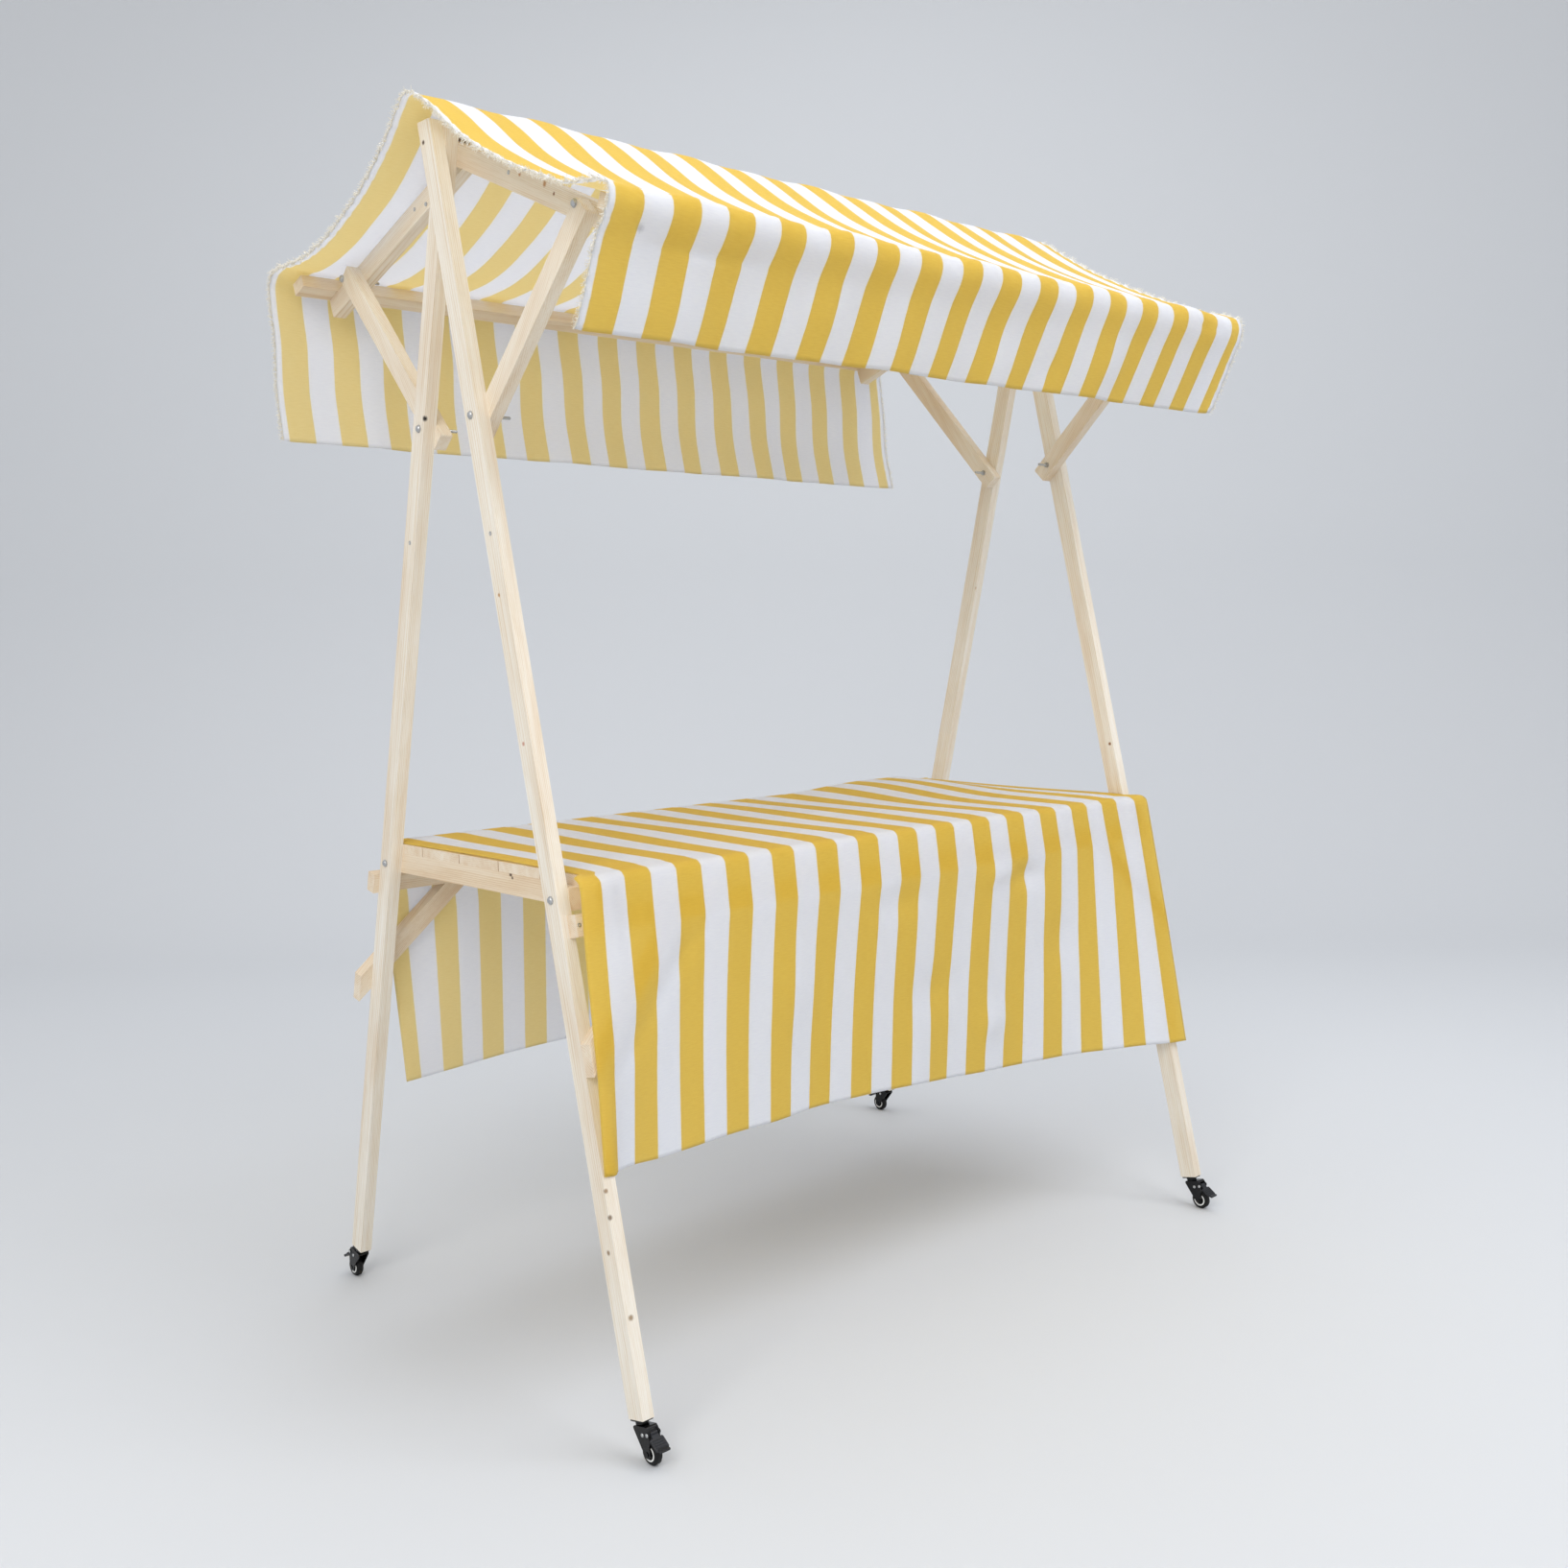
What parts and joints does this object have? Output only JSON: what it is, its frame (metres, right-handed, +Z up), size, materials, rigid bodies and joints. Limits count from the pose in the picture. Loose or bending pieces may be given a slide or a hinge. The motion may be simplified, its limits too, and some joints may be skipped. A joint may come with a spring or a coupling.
{
  "type": "wooden market stall on casters",
  "caption": "Open pine market stall with crossed end frames, a pitched striped cloth roof, a counter under a striped cloth and braked swivel casters.",
  "frame": {"origin": "on the floor, in the middle of the stall's length and depth", "axes": "+X along the counter, -Y towards the customers, +Z up"},
  "size_m": [1.706, 1.1022, 2.2385],
  "materials": {
    "pine": "planed pine battens and boards, no varnish",
    "striped_cloth": "plain-woven cotton in yellow and white stripes",
    "caster_steel": "black gloss paint on pressed steel",
    "caster_tyre": "black rubber on a black hub",
    "pedal_plastic": "dark grey moulded plastic"
  },
  "bodies": {
    "frame": {"front_left_leg": "pine", "front_left_rafter": "pine", "front_left_strut": "pine", "front_left_knee_brace": "pine", "front_left_caster_plate": "caster_steel", "back_left_leg": "pine", "back_left_rafter": "pine", "back_left_strut": "pine", "back_left_knee_brace": "pine", "back_left_caster_plate": "caster_steel", "left_counter_bar": "pine", "left_counter_spacer": "pine", "front_right_leg": "pine", "front_right_rafter": "pine", "front_right_strut": "pine", "front_right_knee_brace": "pine", "front_right_caster_plate": "caster_steel", "back_right_leg": "pine", "back_right_rafter": "pine", "back_right_strut": "pine", "back_right_knee_brace": "pine", "back_right_caster_plate": "caster_steel", "right_counter_bar": "pine", "right_counter_spacer": "pine", "front_counter_rail": "pine", "back_counter_rail": "pine", "front_eave_purlin": "pine", "back_eave_purlin": "pine", "ridge_purlin": "pine", "roof_cloth": "striped_cloth", "counter_cloth": "striped_cloth", "counter_board_1": "pine", "counter_board_2": "pine", "counter_board_3": "pine", "counter_board_4": "pine", "counter_board_5": "pine"},
    "front_left_swivel": {"front_left_caster_fork": "caster_steel"},
    "front_left_wheel": {"front_left_caster_wheel": "caster_tyre"},
    "front_left_pedal": {"front_left_brake_pedal": "pedal_plastic"},
    "back_left_swivel": {"back_left_caster_fork": "caster_steel"},
    "back_left_wheel": {"back_left_caster_wheel": "caster_tyre"},
    "back_left_pedal": {"back_left_brake_pedal": "pedal_plastic"},
    "front_right_swivel": {"front_right_caster_fork": "caster_steel"},
    "front_right_wheel": {"front_right_caster_wheel": "caster_tyre"},
    "front_right_pedal": {"front_right_brake_pedal": "pedal_plastic"},
    "back_right_swivel": {"back_right_caster_fork": "caster_steel"},
    "back_right_wheel": {"back_right_caster_wheel": "caster_tyre"},
    "back_right_pedal": {"back_right_brake_pedal": "pedal_plastic"}
  },
  "joints": [
    {"name": "front_left_swivel_turn", "type": "hinge", "parent": "frame", "child": "front_left_swivel", "pos_m": [-0.803, -0.49, 0.068], "axis": [0, 0.2281, 0.9736], "continuous": true},
    {"name": "front_left_wheel_roll", "type": "hinge", "parent": "front_left_swivel", "child": "front_left_wheel", "pos_m": [-0.803, -0.51665, 0.02], "axis": [1, 0, 0], "continuous": true},
    {"name": "front_left_pedal_lift", "type": "hinge", "parent": "front_left_swivel", "child": "front_left_pedal", "pos_m": [-0.803, -0.51913, 0.05325], "axis": [-1, 0, 0], "range_deg": [0, 14]},
    {"name": "back_left_swivel_turn", "type": "hinge", "parent": "frame", "child": "back_left_swivel", "pos_m": [-0.779, 0.49, 0.068], "axis": [0, -0.2281, 0.9736], "continuous": true},
    {"name": "back_left_wheel_roll", "type": "hinge", "parent": "back_left_swivel", "child": "back_left_wheel", "pos_m": [-0.779, 0.51665, 0.02], "axis": [1, 0, 0], "continuous": true},
    {"name": "back_left_pedal_lift", "type": "hinge", "parent": "back_left_swivel", "child": "back_left_pedal", "pos_m": [-0.779, 0.51913, 0.05325], "axis": [1, 0, 0], "range_deg": [0, 14]},
    {"name": "front_right_swivel_turn", "type": "hinge", "parent": "frame", "child": "front_right_swivel", "pos_m": [0.779, -0.49, 0.068], "axis": [0, 0.2281, 0.9736], "continuous": true},
    {"name": "front_right_wheel_roll", "type": "hinge", "parent": "front_right_swivel", "child": "front_right_wheel", "pos_m": [0.779, -0.51665, 0.02], "axis": [1, 0, 0], "continuous": true},
    {"name": "front_right_pedal_lift", "type": "hinge", "parent": "front_right_swivel", "child": "front_right_pedal", "pos_m": [0.779, -0.51913, 0.05325], "axis": [-1, 0, 0], "range_deg": [0, 14]},
    {"name": "back_right_swivel_turn", "type": "hinge", "parent": "frame", "child": "back_right_swivel", "pos_m": [0.803, 0.49, 0.068], "axis": [0, -0.2281, 0.9736], "continuous": true},
    {"name": "back_right_wheel_roll", "type": "hinge", "parent": "back_right_swivel", "child": "back_right_wheel", "pos_m": [0.803, 0.51665, 0.02], "axis": [1, 0, 0], "continuous": true},
    {"name": "back_right_pedal_lift", "type": "hinge", "parent": "back_right_swivel", "child": "back_right_pedal", "pos_m": [0.803, 0.51913, 0.05325], "axis": [1, 0, 0], "range_deg": [0, 14]}
  ]
}
